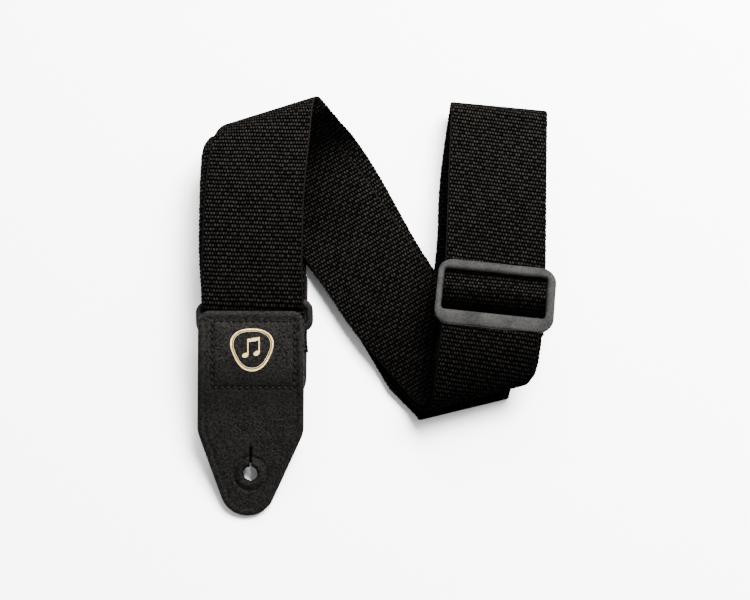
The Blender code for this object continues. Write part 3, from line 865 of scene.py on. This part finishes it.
def hardware(mat):
    to = slider_matrix()
    steps = 10
    outer = (rounded_outline(SLIDER_WIDTH, SLIDER_HEIGHT, SLIDER_CORNER, steps)
             + np.array((WINDOW_X / 2, -1.2)))
    bow = np.clip(1 - ((outer[:, 1] + 1.2) / 15.0) ** 2, 0, 1)
    outer[:, 0] += np.where(outer[:, 0] > 28.0, bow * 0.9, 0.0)
    outer[:, 0] -= np.where(outer[:, 0] < -28.0, bow * 0.3, 0.0)
    inner = rounded_outline(WINDOW, WINDOW_HEIGHT, 1.8, steps) + np.array((WINDOW_X, 0.1))
    # The rim's cross-section: share of the way from the outer to the inner line, and height.
    low, high = 1.15, 4.1
    section = [(0.0, low + 0.6), (0.0, high - 1.2), (0.03, high - 0.6), (0.09, high - 0.15),
               (0.16, high), (0.72, high), (0.84, high - 0.25), (0.95, high - 0.9),
               (1.0, high - 1.6), (1.0, low + 0.4), (0.94, low), (0.06, low)]
    verts = []
    for share, z in section:
        line = outer * (1 - share) + inner * share
        verts.append([to(x, y, z - 0.22 * max(0.0, -11.5 - y) * (z > 2)) for x, y in line])
    verts = np.array(verts)
    rows, cols = verts.shape[:2]
    index = np.arange(rows * cols).reshape(rows, cols)
    faces = []
    for i in range(rows):
        for j in range(cols):
            i2, j2 = (i + 1) % rows, (j + 1) % cols
            faces.append((index[i, j], index[i, j2], index[i2, j2], index[i2, j]))
    points = verts.reshape(-1, 3).tolist()

    def block(x, y, z, edge):
        base = len(points)
        shape = rounded_outline(x[1] - x[0], y[1] - y[0], edge, 3)
        shape = shape + np.array(((x[0] + x[1]) / 2, (y[0] + y[1]) / 2))
        middle = shape.mean(axis=0)
        levels = [(z[0], 0.6), (z[0] + 0.3, 0.15), (z[0] + 0.6, 0.0), (z[1] - 0.6, 0.0),
                  (z[1] - 0.3, 0.15), (z[1], 0.6)]
        for height, depth in levels:
            for px, py in shape:
                sx = math.copysign(max(0.0, abs(px - middle[0]) - depth), px - middle[0])
                sy = math.copysign(max(0.0, abs(py - middle[1]) - depth), py - middle[1])
                points.append(list(to(middle[0] + sx, middle[1] + sy, height)))
        n = len(shape)
        for level in range(len(levels) - 1):
            for j in range(n):
                k = (j + 1) % n
                b = base + level * n
                faces.append((b + j, b + k, b + n + k, b + n + j))
        faces.append(tuple(range(base + n - 1, base - 1, -1)))
        top = base + n * (len(levels) - 1)
        faces.append(tuple(range(top, top + n)))

    block((-29.7, -27.2), (-13.0, 13.0), (-5.2, 2.6), 1.2)
    block((26.2, 29.0), (-13.0, 13.0), (-5.2, 2.6), 1.2)
    block((-27.2, 27.2), (-2.25, 2.25), (-5.2, -3.0), 0.5)
    slider = make_mesh("slider_frame", points, faces, mat)
    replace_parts(slider, "tri_glide_slider")
    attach(slider, "slider")
    return slider


def ring(mat):
    """The rectangular ring: a bar of slightly flattened round section bent into a closed loop."""
    _, across, down, normal = ring_bar()
    path = rounded_outline(RING_WIDTH - RING_SIDE_BAR, RING_PITCH, 3.6, 10)
    middle = RING_MIDDLE + down * (RING_PITCH / 2)
    sides, verts = 20, []
    for i, (x, y) in enumerate(path):
        before, after = path[i - 1], path[(i + 1) % len(path)]
        along = unit(np.array(after) - np.array(before))
        out = np.array((along[1], -along[0]))
        for k in range(sides):
            a = 2 * math.pi * k / sides
            half = (RING_BAR * out[1] ** 2 + RING_SIDE_BAR * out[0] ** 2) / 2
            px, py = np.array((x, y)) + out * (half * math.cos(a))
            verts.append(middle + across * px - down * py + normal * (RING_BAR / 2 * math.sin(a)))
    faces = []
    for i in range(len(path)):
        j = (i + 1) % len(path)
        for k in range(sides):
            m = (k + 1) % sides
            faces.append((i * sides + k, i * sides + m, j * sides + m, j * sides + k))
    piece = make_mesh("ring", verts, faces, mat)
    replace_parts(piece, "rectangular_ring")
    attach(piece, "ring")


# ---------------------------------------------------------------- leather ends

def leather_outline(count):
    """count points round the leather end, starting near the middle of its top edge."""
    half, corner, shoulder_r, tip_r, tip_x = LEATHER_HALF, 6.0, 15.0, 13.9, -1.3
    shoulder = -LEATHER_LENGTH + 44.5
    tip = -LEATHER_LENGTH + tip_r
    taper_left = math.atan2(half + tip_x - tip_r + 1.6, shoulder - tip)
    taper_right = math.atan2(half - tip_x - tip_r + 1.6, shoulder - tip)
    points = []

    def arc(cx, cy, r, a, b, n):
        for i in range(n + 1):
            angle = a + (b - a) * i / n
            points.append((cx + r * math.cos(angle), cy + r * math.sin(angle)))

    arc(-half + corner, -corner, corner, math.pi / 2, math.pi, 16)
    arc(-half + shoulder_r, shoulder, shoulder_r, math.pi, math.pi + taper_left, 12)
    arc(tip_x, tip, tip_r, math.pi + taper_left, 2 * math.pi - taper_right, 40)
    arc(half - shoulder_r, shoulder, shoulder_r, 2 * math.pi - taper_right, 2 * math.pi, 12)
    arc(half - corner, -corner, corner, 0, math.pi / 2, 16)
    points = np.array(points + points[:1])
    step = np.linalg.norm(np.diff(points, axis=0), axis=1)
    total = np.concatenate([[0], np.cumsum(step)])
    at = np.linspace(0, total[-1], count, endpoint=False)
    return np.stack([np.interp(at, total, points[:, k]) for k in range(2)], axis=1)


def inner_line(outline):
    """For each outline point, the point that the surface closes on: hole, slit or spine."""
    top, width = -14.0, 0.5
    low = PIN_Y + PIN_RADIUS - 0.05
    below = np.where(outline[:, 1] < low)[0]
    result = np.zeros_like(outline)
    for i, (x, y) in enumerate(outline):
        side = math.copysign(1.0, x)
        if y > SLIT_TOP:
            result[i] = (0.0, min(y, top))
        elif y > low:
            result[i] = (side * width * min(1.0, (SLIT_TOP - y) / 0.8), y)
    count = len(below)
    for k, i in enumerate(below):
        angle = math.radians(98.0 + 344.0 * k / (count - 1))
        result[i] = (PIN_RADIUS * math.cos(angle), PIN_Y + PIN_RADIUS * math.sin(angle))
    return result


def leather_height(points, outline, worn):
    """How far the grain side stands above its flat height."""
    x, y = points[:, 0], points[:, 1]
    d = np.min(np.linalg.norm(points[:, None] - outline[None], axis=2), axis=1)
    rim = 1.1
    h = np.where(d < rim, np.sqrt(np.maximum(0, rim**2 - (rim - d) ** 2)) - rim, 0.0)
    h += 0.30 * np.exp(-((d - 1.9) / 0.9) ** 2) - 0.22 * np.exp(-((d - 3.7) / 0.7) ** 2)
    bx = np.abs(x - BOX_MIDDLE_X) - BOX_HALF_X
    by = np.abs(y - (BOX_TOP + BOX_BOTTOM) / 2) - (BOX_TOP - BOX_BOTTOM) / 2
    outside = np.hypot(np.maximum(bx, 0), np.maximum(by, 0))
    inside = np.maximum(bx, by)
    edge = np.where(inside > 0, outside, inside)
    h -= 0.55 * np.exp(-(edge / 0.75) ** 2)
    h += np.where(edge < 0, 0.55 * (1 - np.exp(-(edge / 3.5) ** 2)), 0.0)
    r = np.hypot(x, y - PIN_Y)
    h += 0.85 * np.exp(-((r - 5.5) / 1.35) ** 2) - 0.55 * np.exp(-((r - 8.4) / 0.8) ** 2)
    h -= 0.9 * np.clip(1 - (r - PIN_RADIUS) / 0.9, 0, 1) ** 2
    slit = np.clip((SLIT_TOP + 1.0 - y) / 1.5, 0, 1) * np.clip((y - PIN_Y) / 3.0, 0, 1)
    h += slit * (0.25 * np.exp(-((np.abs(x) - 1.5) / 0.7) ** 2) - 0.6 * np.exp(-(x / 0.75) ** 2))
    h += worn * (0.12 * np.sin(x * 0.21 + 1.0) * np.sin(y * 0.13)
                 + 0.06 * np.sin(x * 0.5 + y * 0.31))
    return h


def leather_piece(name, axes, mat, flesh):
    """A leather end. axes is its origin with its x, y and grain-side directions."""
    origin, ex, ey, ez = axes
    outline = leather_outline(460)
    inner = inner_line(outline)
    shares = np.concatenate([[0, 0.005, 0.012, 0.022, 0.034, 0.05, 0.068, 0.088, 0.11, 0.135],
                             np.linspace(0.16, 1.0, 36)])
    top = [outline * (1 - w) + inner * w for w in shares]
    heights = [LEATHER_THICK / 2 + leather_height(ring, outline, 1.0) for ring in top]
    bottom_shares = [1.0, 0.7, 0.4, 0.15, 0.03, 0.0]
    low = -LEATHER_THICK / 2
    bottom = [outline * (1 - w) + inner * w for w in bottom_shares]
    edge_gap = [0.0] * 5 + [0.5]
    bottom_heights = [low + gap + 0.2 * np.clip(ring[:, 1] + 6.0, 0, 6) * (1 - 0.5 * (gap > 0))
                      for ring, gap in zip(bottom, edge_gap)]
    rings = top + bottom
    levels = heights + bottom_heights
    verts = np.concatenate([origin + ring[:, :1] * ex + ring[:, 1:] * ey + level[:, None] * ez
                            for ring, level in zip(rings, levels)])
    n = len(outline)
    faces, slots = [], []
    for k in range(len(rings)):
        a, b = k, (k + 1) % len(rings)
        wall = a == len(top) - 1
        for j in range(n):
            j2 = (j + 1) % n
            if (wall and abs(inner[j, 0]) < 0.02 and abs(inner[j2, 0]) < 0.02
                    and inner[j, 1] > PIN_Y):
                continue
            faces.append((a * n + j, a * n + j2, b * n + j2, b * n + j))
            slots.append(0 if a < len(top) - 1 else 1)
    piece = make_mesh(name, verts, faces, mat)
    piece.data.materials.append(flesh)
    piece.data.polygons.foreach_set("material_index", slots)
    bm = bmesh.new()
    bm.from_mesh(piece.data)
    bmesh.ops.remove_doubles(bm, verts=bm.verts, dist=0.000002)
    bmesh.ops.recalc_face_normals(bm, faces=bm.faces)
    bm.to_mesh(piece.data)
    bm.free()
    return piece


def surface_point(axes, outline, x, y, lift):
    origin, ex, ey, ez = axes
    h = LEATHER_THICK / 2 + leather_height(np.array([(x, y)]), outline, 1.0)[0] + lift
    return origin + ex * x + ey * y + ez * h


def capsule(points, faces, start, end, up, radius, sides=8, arch=0.0):
    """Adds a rounded thread segment to points and faces."""
    line = end - start
    length = np.linalg.norm(line)
    ahead = line / length
    side = unit(np.cross(ahead, up))
    top = np.cross(side, ahead)
    base = len(points)
    rings = [(0.0, 0.25), (0.06, 0.7), (0.18, 0.95), (0.5, 1.0), (0.82, 0.95), (0.94, 0.7),
             (1.0, 0.25)]
    for at, size in rings:
        middle = start + line * at + top * (arch * 4 * at * (1 - at))
        for k in range(sides):
            a = 2 * math.pi * k / sides
            points.append(middle + (side * math.cos(a) + top * math.sin(a)) * radius * size)
    for i in range(len(rings) - 1):
        for k in range(sides):
            m = (k + 1) % sides
            b = base + i * sides
            faces.append((b + k, b + m, b + sides + m, b + sides + k))
    faces.append(tuple(base + k for k in range(sides))[::-1])
    last = base + (len(rings) - 1) * sides
    faces.append(tuple(last + k for k in range(sides)))


def box_stitches(name, axes, outline, mat, under):
    """The stitches of a sewn box, on the grain side or on the webbing behind it."""
    origin, ex, ey, ez = axes
    right, left = BOX_MIDDLE_X + BOX_HALF_X, BOX_MIDDLE_X - BOX_HALF_X
    corners = [(right, BOX_TOP), (left, BOX_TOP), (left, BOX_BOTTOM), (right, BOX_BOTTOM)]
    points, faces = [], []
    for k in range(4):
        a, b = np.array(corners[k]), np.array(corners[(k + 1) % 4])
        count = int(round(np.linalg.norm(b - a) / STITCH))
        ahead = (b - a) / np.linalg.norm(b - a)
        aside = np.array((-ahead[1], ahead[0]))
        for i in range(count):
            p = a + (b - a) * (i + 0.1) / count - aside * 0.42
            q = a + (b - a) * (i + 0.86) / count + aside * 0.42
            if under is None:
                start = surface_point(axes, outline, *p, 0.0)
                end = surface_point(axes, outline, *q, 0.0)
            else:
                start = origin + ex * p[0] + ey * p[1] + ez * under
                end = origin + ex * q[0] + ey * q[1] + ez * under
            capsule(points, faces, start, end, ez if under is None else -ez, 0.6, arch=0.22)
    return make_mesh(name, points, faces, mat)


def leather_ends(mat, flesh, thread, foil):
    outline = leather_outline(460)
    front = front_frame()
    piece = leather_piece("front_leather", front, mat, flesh)
    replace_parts(piece, "front_leather_end")
    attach(piece, "front_end")
    sewing = box_stitches("front_box_stitches", front, outline, thread, None)
    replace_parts(sewing, "front_box_thread")
    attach(sewing, "front_end")
    motif = foil_motif(front, outline, foil)
    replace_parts(motif, "foil_motif")
    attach(motif, "front_end")

    rear = (REAR_TOP, np.array((-1.0, 0, 0)), np.array((0, 1.0, 0)), np.array((0, 0, -1.0)))
    piece = leather_piece("rear_leather", rear, mat, flesh)
    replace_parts(piece, "rear_leather_end")
    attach(piece, "strap")
    sewing = box_stitches("rear_box_stitches", rear, outline, thread,
                          -LEATHER_THICK / 2 - 0.1 - THICK)
    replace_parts(sewing, "rear_box_thread")
    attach(sewing, "strap")


def foil_motif(axes, outline, mat):
    """A plectrum outline with a pair of joined notes in it."""
    points, faces = [], []
    middle = np.array((0.6, -18.2))

    def lay(shape):
        base = len(points)
        for x, y in shape:
            points.append(surface_point(axes, outline, x + middle[0], y + middle[1], 0.06))
        return base

    def plectrum(scale):
        line = []
        for i in range(72):
            a = 2 * math.pi * i / 72
            r = 9.6 * (1 + 0.13 * math.sin(a) ** 2 * (1 if math.sin(a) < 0 else 0.2))
            r *= 1 + 0.07 * math.cos(3 * (a + math.pi / 2))
            line.append((r * math.cos(a) * scale * 1.08, (r * math.sin(a)) * scale))
        return line

    for outer, inner in ((1.02, 0.95), (0.90, 0.88)):
        a = lay(plectrum(outer))
        b = lay(plectrum(inner))
        for i in range(72):
            j = (i + 1) % 72
            faces.append((a + i, a + j, b + j, b + i))

    def patch(shape):
        base = lay(shape)
        faces.append(tuple(range(base, base + len(shape))))

    def head(cx, cy):
        tilt = math.radians(24)
        shape = []
        for i in range(24):
            a = 2 * math.pi * i / 24
            x, y = 1.55 * math.cos(a), 1.1 * math.sin(a)
            shape.append((cx + x * math.cos(tilt) - y * math.sin(tilt),
                          cy + x * math.sin(tilt) + y * math.cos(tilt)))
        patch(shape)

    head(-3.3, -3.9)
    head(2.3, -2.9)
    patch([(-2.3, -3.6), (-1.75, -3.6), (-1.75, 2.9), (-2.3, 2.9)])
    patch([(3.3, -2.6), (3.85, -2.6), (3.85, 3.9), (3.3, 3.9)])
    patch([(-2.3, 2.6), (3.85, 3.6), (3.85, 5.2), (-2.3, 4.2)])
    return make_mesh("foil_mark", points, faces, mat, None, False)


# ---------------------------------------------------------------- build

def main():
    camera()
    stage()
    web = webbing_material()
    leather = leather_material("black_leather", (0.0078, 0.0072, 0.0066), (0.0006, 0.0006, 0.0005),
                               0.46, 0.6, 0.0004)
    flesh = leather_material("leather_flesh_side", (0.010, 0.0085, 0.0075),
                             (0.0016, 0.0014, 0.0012), 0.85, 0.95, 0.0005)
    plastic = plastic_material("black_plastic", (0.0045, 0.0044, 0.0042), (0.0205, 0.0201, 0.0190))
    ring_plastic = plastic_material("ring_plastic", (0.0018, 0.0018, 0.0017),
                                    (0.0078, 0.0076, 0.0072))
    thread = thread_material()
    foil = foil_material()

    main_piece, end_piece = webbing(web)
    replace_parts(main_piece, *[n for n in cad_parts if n.startswith("webbing_")])
    end, crest = slider_loop(web)
    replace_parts(end, "slider_end_loop")
    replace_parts(keeper(web), "ring_keeper_webbing")
    leather_ends(leather, flesh, thread, foil)
    hardware(plastic)
    ring(ring_plastic)
    seam = bpy.data.objects["slider_seam_thread"]
    seam.data.materials.clear()
    seam.data.materials.append(thread)


main()
